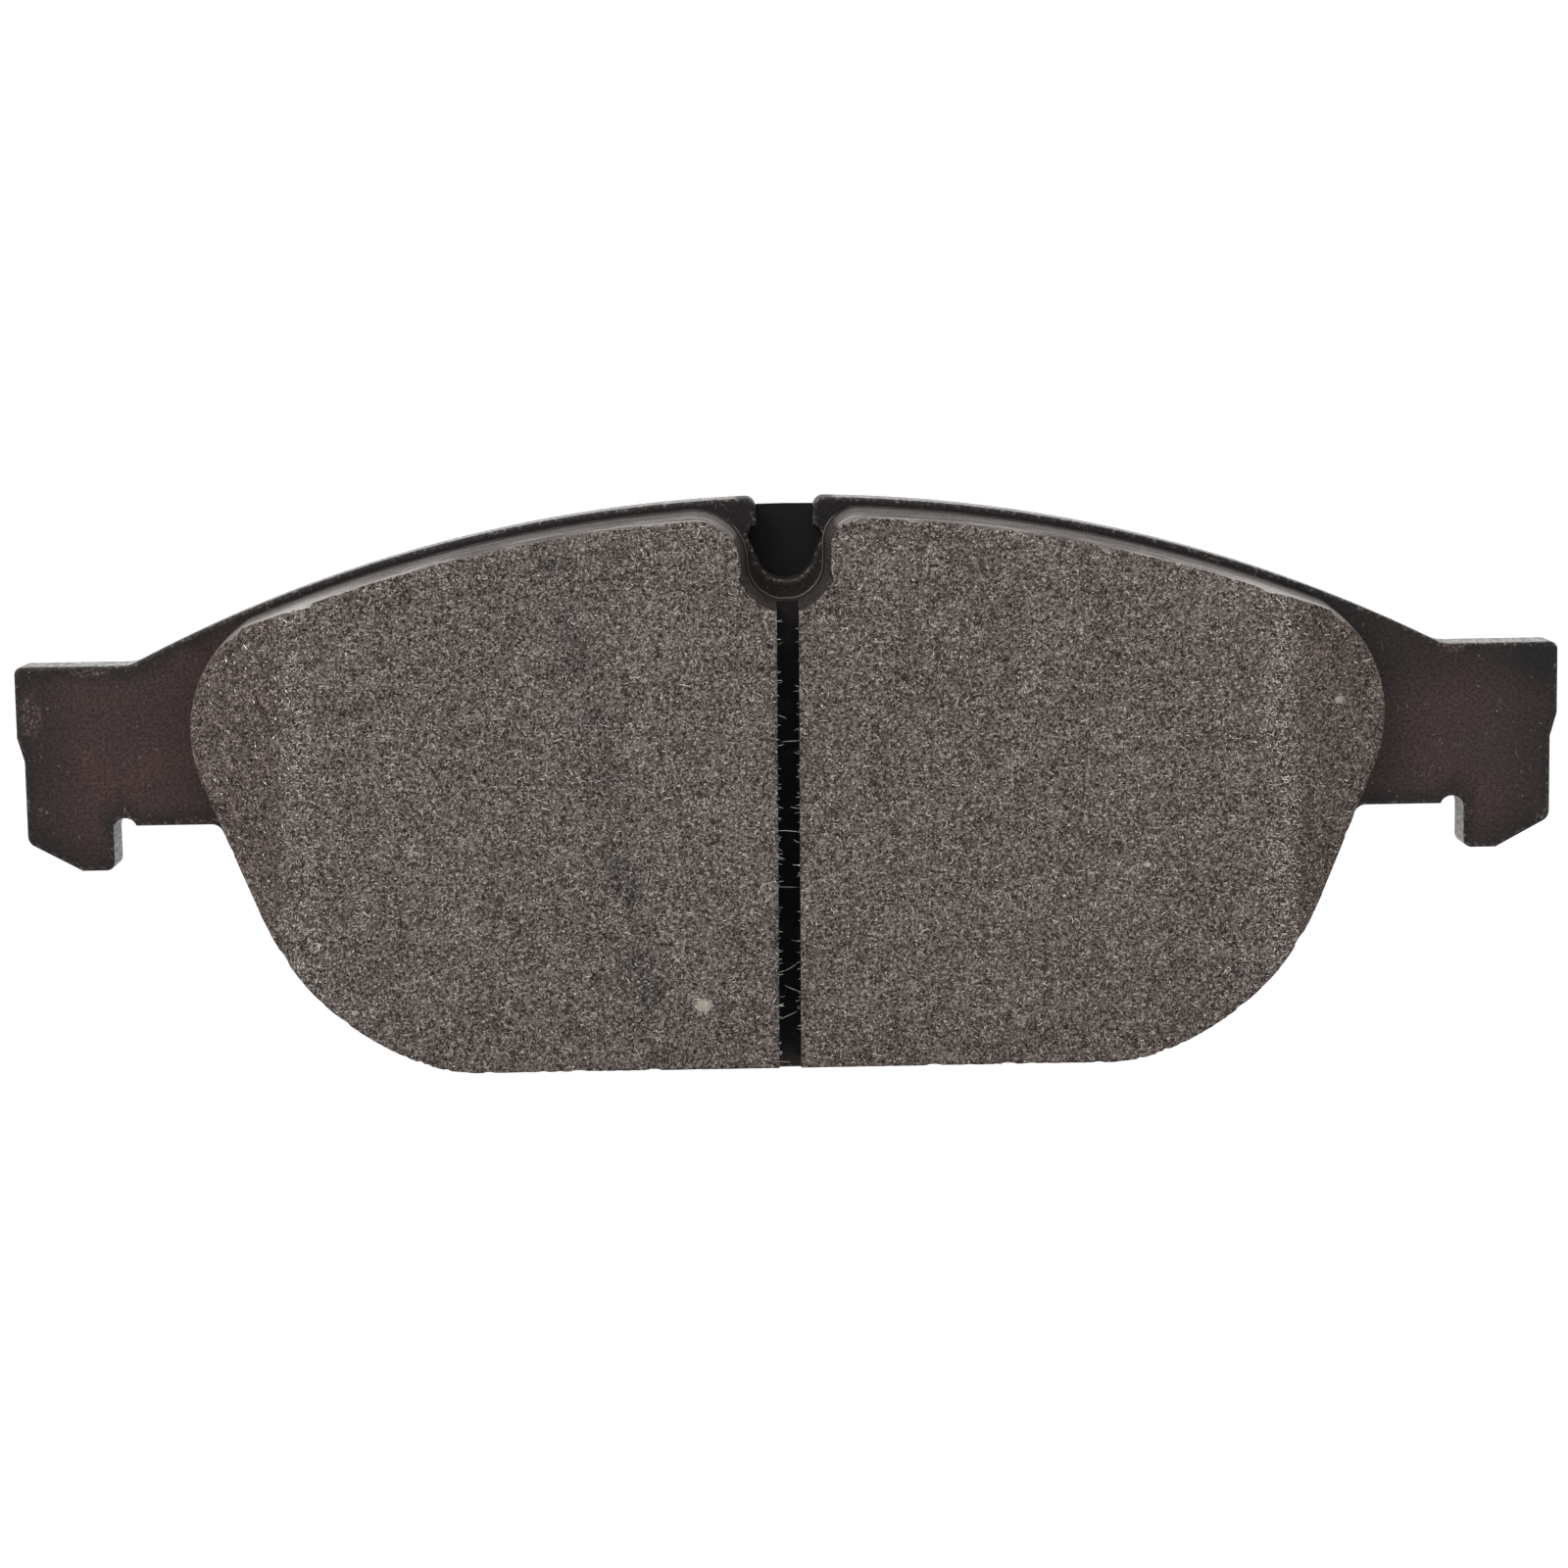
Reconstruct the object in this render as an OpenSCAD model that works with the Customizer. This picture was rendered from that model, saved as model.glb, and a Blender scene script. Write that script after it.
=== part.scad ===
// Disc brake pad with hammerhead ears, bonded shim and a slotted, chamfered lining.
// Frame: X across the pad, +Y towards the rim of the disc, +Z the way the lining faces.
// The pad lies on its shim, with the origin under the middle of its bounding box.
// Outlines are drawn with y = 0 on the plate's bottom edge and moved to the origin by place().

/* [Backing plate] */
// Height of the plate, from its flat bottom edge to the top of the arch
plate_h = 72.2; // [72:0.1:74]
// Thickness of the steel plate
plate_t = 6; // [4.5:0.1:7]
// Radius of the arch along the top edge
arch_r = 181; // [179:0.5:183]
// Distance from the middle of the pad to the end of each ear
ear_half_w = 96.5; // [96:0.1:100]
// Level of the ears' top edge
ear_top = 52.55; // [51.8:0.05:53]
// Level of the ears' underside, the face that rides on the caliper bracket
ear_underside = 32.28; // [31.5:0.02:33]
// Level of the hooks' bottom edge
hook_bottom = 26.65; // [26:0.05:27.5]
// Distance from the middle to the inner face of each hook
hook_inner = 84.8; // [83:0.1:86]
// Half width of the notch's neck in the top edge
neck_half_w = 3.6; // [3:0.1:3.9]
// Radius of the notch's round bottom
notch_r = 3.5; // [3.2:0.1:4]
// Diameter of the holes that the lining is keyed into
anchor_d = 12; // [8:0.5:16]

/* [Lining] */
// Height of the lining's face above the plate
lining_t = 12; // [8:0.1:16]
// Thickness of the underlayer beneath the slot, with the bonding film
underlayer_t = 2.5; // [1.5:0.1:3]
// How much each wall leans in over the full height of the lining
draft = 0.75; // [0.3:0.05:1]
// Gap between the plate's arch and the foot of the lining
arch_margin = 1.05; // [0.6:0.05:2]
// Width of the slot
slot_w = 2.65; // [1.5:0.05:5]
// Lean of the slot off the pad's centre line, in degrees
slot_lean = 0.6; // [0:0.1:2]
// Distance from the middle to the start of each end chamfer
chamfer_start = 60.3; // [56:0.1:64]
// Angle of the end chamfers, in degrees
chamfer_angle = 26.5; // [15:0.5:30]
// Half width of the lining's top notch at half height
lining_notch_r = 5.1; // [4.5:0.1:6]

/* [Shim] */
// Thickness of the shim's steel core
core_t = 0.5; // [0.3:0.05:0.8]
// Thickness of each rubber coat
coat_t = 0.15; // [0.1:0.05:0.3]
// Thickness of the adhesive between shim and plate
adhesive_t = 0.1; // [0.05:0.05:0.2]
// Gap between the plate's edge and the shim's edge
shim_margin = 1.1; // [0.8:0.1:2]
// Distance from the middle to the end of the shim
shim_half_w = 70; // [69:0.5:72]

/* [Hidden] */

shim_t = adhesive_t + core_t + 2 * coat_t;
plate_top = shim_t + plate_t;
film_t = 0.1;
arch_c = plate_h - arch_r;
rim_y = arch_c + sqrt(arch_r * arch_r - neck_half_w * neck_half_w);
margin = 40;

// The body's lower edge: a flat, a tight arc, a wide arc and a straight flank.
flat_half_w = 38.9;
turn = 19.6;
flank = 65.8;
plate_r1 = 20.5;
plate_r2 = 35;
plate_c1 = [flat_half_w, plate_r1];
plate_c2 = next_centre(plate_c1, plate_r1, plate_r2);
flank_foot = at(plate_c2, plate_r2, flank - 90);

// The lining's own lower edge and round ends, at half height.
lining_r1 = 18.78;
lining_r2 = 35.28;
lining_c1 = [flat_half_w, 20.83];
end_r = 16;
end_c = [57.9, 44.5];
top_corner_r = 3.5;
notch_corner_left = 6;
notch_corner_right = 4;
lining_notch_y = 64.2;

relief_r = 1.45;
lobe_r = 1.1;
lobe_c = [3.45, 67.45];
notch_y = 65.35;
anchor_x = [-50, -24, 24, 50];
anchor_y = 36;

function at(c, r, a) = [c[0] + r * cos(a), c[1] + r * sin(a)];
function arc(c, r, a0, a1, n) = [for (i = [0 : n]) at(c, r, a0 + (a1 - a0) * i / n)];
function flip(points) = [for (i = [len(points) - 1 : -1 : 0]) [-points[i][0], points[i][1]]];
function whole(half) = concat(half, flip(half));

// Where two circles meet, on the side of larger x and y.
function meet(c1, r1, c2, r2) =
    let (d = c2 - c1, l = norm(d), a = (l * l + r1 * r1 - r2 * r2) / (2 * l))
    c1 + d * a / l + [-d[1], d[0]] * -sqrt(r1 * r1 - a * a) / l;

// Centre of the wide arc that carries on from a tight arc after a given turn.
function next_centre(c, r, r_next) = at(c, r_next - r, 90 + turn);

module place(z) {
    translate([0, -rim_y / 2, z]) children();
}

module slab(z, t) {
    place(z) linear_extrude(t) children();
}

module arch_disc(inset) {
    translate([0, arch_c]) circle(arch_r - inset, $fn = 720);
}

// Where the flank stands at a level, on the plate's own edge.
function flank_x(y) = flank_foot[0] + (y - flank_foot[1]) / tan(flank);

// The body's lower edge and flank, from the middle to where the flank reaches half_w.
function lower_edge(inset, half_w) =
    let (foot = at(plate_c2, plate_r2 - inset, flank - 90))
    concat(
        arc(plate_c1, plate_r1 - inset, -90, turn - 90, 6),
        arc(plate_c2, plate_r2 - inset, turn - 90, flank - 90, 15),
        [[half_w, foot[1] + (half_w - foot[0]) * tan(flank)]]
    );

module body_outline() {
    half_w = flank_x(ear_underside + 1);
    ear_x = sqrt(arch_r * arch_r - pow(ear_top - arch_c, 2));
    intersection() {
        polygon(whole(concat(
            lower_edge(0, half_w),
            [[ear_x, ear_underside + 1], [ear_x, plate_h]]
        )));
        arch_disc(0);
    }
}

// The right ear with its hook, rooted inside the body. The fillets at its root start just
// inside the body's edge, by sink, so that ear and body join in one piece.
function ear_outline() =
    let (
        root_x = 60,
        sink = 0.02,
        rim_r = 4,
        rim_y = ear_top + rim_r,
        rim_c = [sqrt(pow(arch_r - sink + rim_r, 2) - pow(rim_y - arch_c, 2)), rim_y],
        rim_a = atan2(arch_c - rim_c[1], -rim_c[0]) + 360,
        low_r = 1.5,
        low_y = ear_underside - low_r,
        low_c = [flank_x(low_y) + (low_r - sink) / sin(flank), low_y],
        relief_c = [hook_inner - relief_r, ear_underside - 0.48],
        hook_r = 1.1,
        hook_flat = 3,
        side_x = ear_half_w - 0.85,
        side_y = 40.6
    )
    concat(
        [[root_x, ear_underside]],
        arc(low_c, low_r, flank + 90, 90, 5),
        arc(relief_c, relief_r, 180 - asin((ear_underside - relief_c[1]) / relief_r), 0, 12),
        arc([hook_inner + hook_r, hook_bottom + hook_r], hook_r, 180, 270, 6),
        [[hook_inner + hook_r + hook_flat, hook_bottom]],
        arc([side_x - 1.5, 31.2], 1.5, -60, 0, 4),
        [[side_x, side_y], [ear_half_w, side_y + 3]],
        arc([ear_half_w - 1, ear_top - 1], 1, 0, 90, 6),
        arc(rim_c, rim_r, 270, rim_a, 6),
        [[root_x, ear_top]]
    );

// The keyhole notch: a straight neck, two lobes below it and a round bottom.
module plate_notch() {
    d = [0, notch_y] - lobe_c;
    lean = atan2(d[1], d[0]) + acos((lobe_r - notch_r) / norm(d));
    polygon(whole(concat(
        arc([0, notch_y], notch_r, -90, lean, 12),
        arc(lobe_c, lobe_r, lean, 90, 8),
        [[neck_half_w, lobe_c[1] + lobe_r], [neck_half_w, plate_h + 1]]
    )));
}

module anchors() {
    for (x = anchor_x) translate([x, anchor_y]) circle(d = anchor_d, $fn = 72);
}

module backing_plate() {
    color("#2b2726") slab(shim_t, plate_t) difference() {
        union() {
            body_outline();
            polygon(ear_outline());
            polygon(flip(ear_outline()));
        }
        plate_notch();
        anchors();
    }
}

// The lining's outline with every wall moved out by o from its place at half height.
function lining_outline(o) =
    let (
        c2 = next_centre(lining_c1, lining_r1, lining_r2),
        d = end_c - c2,
        lean = atan2(d[1], d[0]) + asin((lining_r2 - end_r) / norm(d)),
        mid_arch = arch_r - arch_margin - draft / 2,
        k = meet([0, arch_c], mid_arch - top_corner_r, end_c, end_r - top_corner_r),
        a_end = atan2(k[1] - end_c[1], k[0] - end_c[0]),
        a_arch = atan2(k[1] - arch_c, k[0]),
        last = at(k, top_corner_r + o, a_arch)
    )
    whole(concat(
        arc(lining_c1, lining_r1 + o, -90, turn - 90, 6),
        arc(c2, lining_r2 + o, turn - 90, lean - 90, 15),
        arc(end_c, end_r + o, lean - 90, a_end, 18),
        arc(k, top_corner_r + o, a_end, a_arch, 8),
        [[last[0], plate_h + 4]]
    ));

// A block with the lining's drafted walls, its height measured from the plate's face.
module lining_walls() {
    over = 1;
    foot = lining_outline(draft * (0.5 + over / lining_t));
    crest = lining_outline(-draft * (0.5 + over / lining_t));
    n = len(foot);
    polyhedron(
        concat(
            [for (p = foot) [p[0], p[1], -over]],
            [for (p = crest) [p[0], p[1], lining_t + over]]
        ),
        concat(
            [[for (i = [0 : n - 1]) i]],
            [for (i = [0 : n - 1]) [i, n + i, n + (i + 1) % n, (i + 1) % n]],
            [[for (i = [n - 1 : -1 : 0]) n + i]]
        ),
        convexity = 4
    );
}

// A cone whose radius is r at half height and grows by the draft towards the plate.
module drafted_cone(r, fn) {
    over = 1;
    grow = draft * (0.5 + over / lining_t);
    translate([0, 0, -over]) cylinder(lining_t + 2 * over, r + grow, r - grow, $fn = fn);
}

module lining_notch() {
    over = 1;
    grow = draft * (0.5 + over / lining_t);
    translate([0, lining_notch_y, 0]) mirror([0, 0, 1]) translate([0, 0, -lining_t])
        drafted_cone(lining_notch_r, 96);
    translate([0, lining_notch_y, 0]) rotate([-90, 0, 0]) linear_extrude(margin) polygon([
        [-lining_notch_r + grow, over],
        [lining_notch_r - grow, over],
        [lining_notch_r + grow, -lining_t - over],
        [-lining_notch_r - grow, -lining_t - over]
    ]);
    mid_arch = arch_r - arch_margin - draft / 2;
    for (side = [[-1, notch_corner_left], [1, notch_corner_right]]) {
        r = side[1];
        x = lining_notch_r + r;
        y = sqrt(pow(mid_arch - r, 2) - x * x) + arch_c;
        difference() {
            translate([side[0] > 0 ? 0 : -x, y, -over]) cube([x, margin, lining_t + 2 * over]);
            translate([side[0] * x, y, 0]) drafted_cone(r, 96);
        }
    }
}

// The lining between two heights above the plate's face, before the slot divides it.
module lining(z0, z1) {
    place(plate_top) difference() {
        intersection() {
            lining_walls();
            translate([0, arch_c, 0]) drafted_cone(arch_r - arch_margin - draft / 2, 720);
            translate([-100, -1, z0]) cube([200, 80, z1 - z0]);
        }
        lining_notch();
        for (side = [0, 1]) mirror([side, 0, 0])
            translate([chamfer_start, -1, lining_t]) rotate([0, chamfer_angle, 0])
                cube([margin, 80, lining_t]);
    }
}

// Everything to one side of the slot.
module beside_slot(side) {
    slot_mid = -0.09;
    place(plate_top) translate([slot_mid, plate_h / 2, 0]) rotate([0, 0, -slot_lean])
        translate([side > 0 ? slot_w / 2 : -slot_w / 2 - 100, -plate_h, 0])
            cube([100, 2 * plate_h, lining_t + 1]);
}

module lining_left() {
    color("#8d8580") intersection() {
        lining(underlayer_t, lining_t);
        beside_slot(-1);
    }
}

module lining_right() {
    color("#8d8580") intersection() {
        lining(underlayer_t, lining_t);
        beside_slot(1);
    }
}

module underlayer() {
    color("#4a4542") {
        lining(film_t, underlayer_t);
        slab(shim_t, plate_t + film_t) anchors();
    }
}

// The bonding film lies under the whole foot of the lining and stops at the keyed holes.
module bond_film() {
    color("#3a3230") difference() {
        lining(0, film_t);
        slab(shim_t, plate_t + 2 * film_t) anchors();
    }
}

module shim_outline() {
    r = 3;
    rim = arch_r - shim_margin - r;
    k = [shim_half_w - r, arch_c + sqrt(rim * rim - pow(shim_half_w - r, 2))];
    corner = arc(k, r, 0, atan2(k[1] - arch_c, k[0]), 8);
    intersection() {
        polygon(whole(concat(
            lower_edge(shim_margin, shim_half_w),
            corner,
            [[corner[8][0], plate_h]]
        )));
        arch_disc(shim_margin);
    }
}

module shim_adhesive() {
    color("#6b6358") slab(core_t + 2 * coat_t, adhesive_t) shim_outline();
}

module shim_inner_rubber() {
    color("#1f1f21") slab(core_t + coat_t, coat_t) shim_outline();
}

module shim_steel_core() {
    color("#9a9a9c") slab(coat_t, core_t) shim_outline();
}

module shim_outer_rubber() {
    color("#1f1f21") slab(0, coat_t) shim_outline();
}

backing_plate();
bond_film();
underlayer();
lining_left();
lining_right();
shim_adhesive();
shim_inner_rubber();
shim_steel_core();
shim_outer_rubber();
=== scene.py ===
import math
import random

import bmesh
import bpy
import numpy as np
from mathutils import Matrix, Vector, noise
from mathutils.geometry import delaunay_2d_cdt


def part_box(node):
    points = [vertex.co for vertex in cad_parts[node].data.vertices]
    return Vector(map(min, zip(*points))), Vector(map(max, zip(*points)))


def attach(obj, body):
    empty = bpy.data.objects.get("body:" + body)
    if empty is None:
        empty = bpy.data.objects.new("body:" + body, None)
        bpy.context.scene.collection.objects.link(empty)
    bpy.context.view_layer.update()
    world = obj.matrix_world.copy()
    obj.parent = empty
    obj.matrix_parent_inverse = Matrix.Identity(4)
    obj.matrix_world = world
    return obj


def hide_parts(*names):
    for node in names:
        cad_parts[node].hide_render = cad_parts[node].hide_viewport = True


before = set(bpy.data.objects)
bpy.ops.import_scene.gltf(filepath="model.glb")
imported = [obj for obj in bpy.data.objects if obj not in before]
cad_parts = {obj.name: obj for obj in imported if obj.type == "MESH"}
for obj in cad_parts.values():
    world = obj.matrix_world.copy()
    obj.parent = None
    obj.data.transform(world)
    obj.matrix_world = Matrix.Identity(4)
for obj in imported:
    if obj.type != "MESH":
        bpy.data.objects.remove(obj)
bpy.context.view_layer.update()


# ---------------------------------------------------------------- shim
# A thin steel sheet with a rubber coat on each face, glued to the back of the plate.
# It damps squeal. Only the black glue on its face shows, through the plate's notch.

class Wire:
    """An output of a shader node that takes part in sums."""

    def __init__(self, paint, socket):
        self.paint, self.socket = paint, socket

    def maths(self, operation, *values):
        return self.paint.add("ShaderNodeMath", {"operation": operation}, dict(enumerate(values)))

    def __add__(self, other):
        return self.maths("ADD", self, other)

    def __sub__(self, other):
        return self.maths("SUBTRACT", self, other)

    def __rsub__(self, other):
        return self.maths("SUBTRACT", other, self)

    def __mul__(self, other):
        return self.maths("MULTIPLY", self, other)

    def __truediv__(self, other):
        return self.maths("DIVIDE", self, other)

    def __pow__(self, other):
        return self.maths("POWER", self, other)

    def __abs__(self):
        return self.maths("ABSOLUTE", self)

    __radd__, __rmul__ = __add__, __mul__

    def step(self, low, high):
        """0 below low, 1 above high and smooth between; low may be the larger."""
        return self.paint.add("ShaderNodeMapRange", {"interpolation_type": "SMOOTHSTEP"},
                              {"Value": self, "From Min": low, "From Max": high})


class Paint:
    """One material. add() makes any node, from its type, its settings and its inputs."""

    def __init__(self, name):
        self.material = bpy.data.materials.new(name)
        self.material.use_nodes = True
        self.tree = self.material.node_tree
        self.tree.nodes.clear()

    def add(self, kind, settings, inputs, out=0):
        made = self.tree.nodes.new(kind)
        for key, value in settings.items():
            if key == "stops":
                for stop, (place, colour) in zip(self.stops(made, len(value)), value):
                    stop.position, stop.color = place, (*colour, 1)
            else:
                setattr(made, key, value)
        for key, value in inputs.items():
            socket = made.inputs[key]
            if isinstance(value, Wire):
                self.tree.links.new(value.socket, socket)
            elif hasattr(socket.default_value, "__len__") and len(socket.default_value) == 4:
                socket.default_value = (*value, 1)
            else:
                socket.default_value = value
        return Wire(self, made.outputs[out])

    def stops(self, ramp, count):
        elements = ramp.color_ramp.elements
        while len(elements) < count:
            elements.new(0.5)
        return elements

    def mix(self, share, a, b, blend="MIX"):
        return self.add("ShaderNodeMix", {"data_type": "RGBA", "blend_type": blend},
                        {0: share, 6: a, 7: b}, 2)

    def vector(self, operation, a, b):
        return self.add("ShaderNodeVectorMath", {"operation": operation}, {0: a, 1: b})

    def millimetres(self):
        place = self.add("ShaderNodeTexCoord", {}, {}, "Object")
        return self.vector("MULTIPLY", place, (1000, 1000, 1000))

    def clouds(self, place, per_mm, detail=2.0, rough=0.5, out=0):
        return self.add("ShaderNodeTexNoise", {},
                        {"Vector": place, "Scale": per_mm, "Detail": detail, "Roughness": rough}, out)

    def finish(self, colour, rough, height=None, bump_mm=0.02, **constants):
        inputs = {"Base Color": colour, "Roughness": rough}
        if height is not None:
            inputs["Normal"] = self.add("ShaderNodeBump", {},
                                        {"Height": height, "Distance": bump_mm / 1000, "Strength": 1.0})
        inputs.update({key.replace("_", " "): value for key, value in constants.items()})
        surface = self.add("ShaderNodeBsdfPrincipled", {}, inputs)
        self.add_output(surface)
        return self.material

    def add_output(self, surface):
        end = self.tree.nodes.new("ShaderNodeOutputMaterial")
        self.tree.links.new(surface.socket, end.inputs["Surface"])


def wear_material(node, material):
    """Gives a part from the frame its finished material."""
    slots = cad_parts[node].data.materials
    slots.clear()
    slots.append(material)


def rubber_coat():
    p = Paint("rubber_coat")
    mm = p.millimetres()
    cloudy = p.clouds(mm, 0.35, 3.0)
    fine = p.clouds(mm, 9.0, 3.0, 0.65)
    rubs = p.clouds(p.vector("MULTIPLY", mm, (0.25, 2.2, 1.0)), 0.5, 4.0, 0.6).step(0.6, 0.75)
    colour = p.mix(cloudy, (0.0095, 0.0093, 0.0103), (0.015, 0.0148, 0.016))
    colour = p.mix(rubs * 0.35, colour, (0.03, 0.03, 0.031))
    return p.finish(colour, 0.5 + cloudy * 0.12 - rubs * 0.1, fine, 0.012, Specular_IOR_Level=0.2)


def core_steel():
    p = Paint("core_steel")
    mm = p.millimetres()
    drawn = p.clouds(p.vector("MULTIPLY", mm, (1.0, 1.0, 9.0)), 3.0, 3.0, 0.6)
    colour = p.mix(drawn, (0.3, 0.3, 0.31), (0.5, 0.5, 0.51))
    return p.finish(colour, 0.3 + drawn * 0.2, drawn, 0.01, Metallic=1.0)


def shim_glue():
    p = Paint("shim_glue")
    mm = p.millimetres()
    lumps = p.clouds(mm, 2.5, 3.0, 0.6)
    colour = p.mix(lumps, (0.0095, 0.0086, 0.0094), (0.0128, 0.0118, 0.0126))
    return p.finish(colour, 0.42 + lumps * 0.12, lumps, 0.012, Specular_IOR_Level=0.12)


coat = rubber_coat()
wear_material("shim_outer_rubber", coat)
wear_material("shim_inner_rubber", coat)
wear_material("shim_steel_core", core_steel())
wear_material("shim_adhesive", shim_glue())


# ---------------------------------------------------------------- backing plate
# Stamped from 6 mm steel strip and dip-coated dark brown. The punch leaves the front
# edge rolled over and the back edge crisp. Each ear ends in a hook for the bracket's rail.

PLATE_FOOT, PLATE_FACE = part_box("backing_plate")[0][2] * 1000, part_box("backing_plate")[1][2] * 1000
ARCH_R = 181.0
ARCH_C = 72.2 - ARCH_R
NECK = 3.6
MIDDLE = (ARCH_C + math.sqrt(ARCH_R ** 2 - NECK ** 2)) / 2
TURN = 19.6
FLAT = 38.9
KEY_X, KEY_Y, KEY_R = (-50, -24, 24, 50), 36, 6


def on_arc(centre, radius, degrees):
    a = math.radians(degrees)
    return (centre[0] + radius * math.cos(a), centre[1] + radius * math.sin(a))


def arc(centre, radius, start, end, spacing=0.8):
    count = max(2, round(abs(radius * math.radians(end - start)) / spacing))
    return [on_arc(centre, radius, start + (end - start) * i / count) for i in range(count + 1)]


def wide_centre(tight_centre, tight_r, wide_r):
    return on_arc(tight_centre, wide_r - tight_r, 90 + TURN)


def plate_half():
    """The right half of the plate's edge, from the middle of the bottom to the notch's bottom."""
    flank, ear_top, underside, hook_x, ear_x = 65.8, 52.55, 32.28, 84.8, 96.5
    c1 = (FLAT, 20.5)
    c2 = wide_centre(c1, 20.5, 35)
    foot = on_arc(c2, 35, flank - 90)
    low = (foot[0] + (underside - 1.5 - foot[1]) / math.tan(math.radians(flank))
           + 1.5 / math.sin(math.radians(flank)), underside - 1.5)
    relief = (hook_x - 1.45, underside - 0.48)
    rim = (math.sqrt((ARCH_R + 4) ** 2 - (ear_top + 4 - ARCH_C) ** 2), ear_top + 4)
    rim_a = math.degrees(math.atan2(rim[1] - ARCH_C, rim[0]))
    lobe, round_c = (3.45, 67.45), (0, 65.35)
    span = math.dist(lobe, round_c)
    lean = math.degrees(math.atan2(round_c[1] - lobe[1], round_c[0] - lobe[0])
                        + math.acos((1.1 - 3.5) / span))
    lip = (NECK + 1.3, math.sqrt((ARCH_R - 1.3) ** 2 - (NECK + 1.3) ** 2) + ARCH_C)
    lip_a = math.degrees(math.atan2(lip[1] - ARCH_C, lip[0]))
    return (
        [(x, 0.0) for x in np.linspace(0, FLAT, 24)[:-1]]
        + arc(c1, 20.5, -90, TURN - 90) + arc(c2, 35, TURN - 90, flank - 90)
        + arc(low, 1.5, flank + 90, 90, 0.25)
        + arc(relief, 1.45, 180 - math.degrees(math.asin(0.48 / 1.45)), 0, 0.25)
        + arc((hook_x + 1.1, 27.75), 1.1, 180, 270, 0.25)
        + [(hook_x + 2.5, 26.65), (hook_x + 4.1, 26.65)]
        + arc((ear_x - 2.35, 31.2), 1.5, -60, 0, 0.25)
        + [(ear_x - 0.85, 34.0), (ear_x - 0.85, 37.5), (ear_x - 0.85, 40.6), (ear_x, 43.6), (ear_x, 47.5)]
        + arc((ear_x - 1, ear_top - 1), 1, 0, 90, 0.25)
        + [(92.0, ear_top), (88.0, ear_top)]
        + arc(rim, 4, 270, 180 + rim_a, 0.3)
        + arc((0, ARCH_C), ARCH_R, rim_a, lip_a)
        + arc(lip, 1.3, lip_a, 180, 0.25)
        + [(NECK, 70.4)]
        + arc(lobe, 1.1, 90, lean, 0.25)
        + arc(round_c, 3.5, lean, -90, 0.3)
    )


def close_half(half):
    """Both halves in one anticlockwise ring, without points that fall together."""
    ring = half[:-1] + [(-x, y) for x, y in reversed(half)][:-1]
    kept = [p for i, p in enumerate(ring) if math.dist(p, ring[i - 1]) > 0.02]
    return np.array(kept)


def inward(ring, by):
    """A ring moved into the material, corner by corner. Where it would fold over itself,
    at a tight corner, the folded points close up into one."""
    before, after = ring - np.roll(ring, 1, 0), np.roll(ring, -1, 0) - ring
    n1 = np.stack([-before[:, 1], before[:, 0]], 1) / np.linalg.norm(before, axis=1)[:, None]
    n2 = np.stack([-after[:, 1], after[:, 0]], 1) / np.linalg.norm(after, axis=1)[:, None]
    both = n1 + n2
    both /= np.maximum(np.linalg.norm(both, axis=1), 0.2)[:, None]
    stretch = 1 / np.maximum((both * n1).sum(1), 0.5)
    moved = ring + both * stretch[:, None] * by
    span = (after ** 2).sum(1)
    along = ((moved[:, None] - ring) * after).sum(2) / span
    foot = ring + np.clip(along, 0, 1)[:, :, None] * after
    gap = np.linalg.norm(moved[:, None] - foot, axis=2).min(1)
    good = np.flatnonzero(gap >= abs(by) * 0.93 - 1e-6)
    for i in np.flatnonzero(gap < abs(by) * 0.93 - 1e-6):
        place = np.searchsorted(good, i)
        moved[i] = (moved[good[place - 1]] + moved[good[place % len(good)]]) / 2
    return moved


def filled(loops, inner=()):
    """Triangles that fill the first loop, with the other loops cut in as edges; the triangles inside those
    loops are left in.
    """
    points = [Vector(p) for loop in loops for p in loop] + [Vector(p) for p in inner]
    edges, start = [], 0
    for loop in loops:
        edges += [(start + i, start + (i + 1) % len(loop)) for i in range(len(loop))]
        start += len(loop)
    _, _, faces, origin, _, _ = delaunay_2d_cdt(points, edges, [], 1, 1e-5)
    order = [o[0] for o in origin]
    return [tuple(order[i] for i in f) for f in faces]


def mesh_piece(name, points_mm, faces, material, sharp=40, marks=None):
    """A mesh object from points in millimetres, measured from the plate's bottom edge."""
    mesh = bpy.data.meshes.new(name)
    points = np.array(points_mm, float) - (0, MIDDLE, 0)
    mesh.from_pydata((points / 1000).tolist(), [], faces)
    for mark, values in (marks or {}).items():
        mesh.attributes.new(mark, "FLOAT", "POINT").data.foreach_set("value", values)
    tidy = bmesh.new()
    tidy.from_mesh(mesh)
    bmesh.ops.remove_doubles(tidy, verts=tidy.verts, dist=1e-6)
    tidy.to_mesh(mesh)
    tidy.free()
    mesh.materials.append(material)
    mesh.polygons.foreach_set("use_smooth", [True] * len(mesh.polygons))
    mesh.set_sharp_from_angle(angle=math.radians(sharp))
    mesh.update()
    piece = bpy.data.objects.new(name, mesh)
    bpy.context.scene.collection.objects.link(piece)
    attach(piece, "root")
    return piece


def band(lower, upper, count):
    """Quads between two rings of the same count, given where each ring starts."""
    return [(lower + i, lower + (i + 1) % count, upper + (i + 1) % count, upper + i)
            for i in range(count)]


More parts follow.
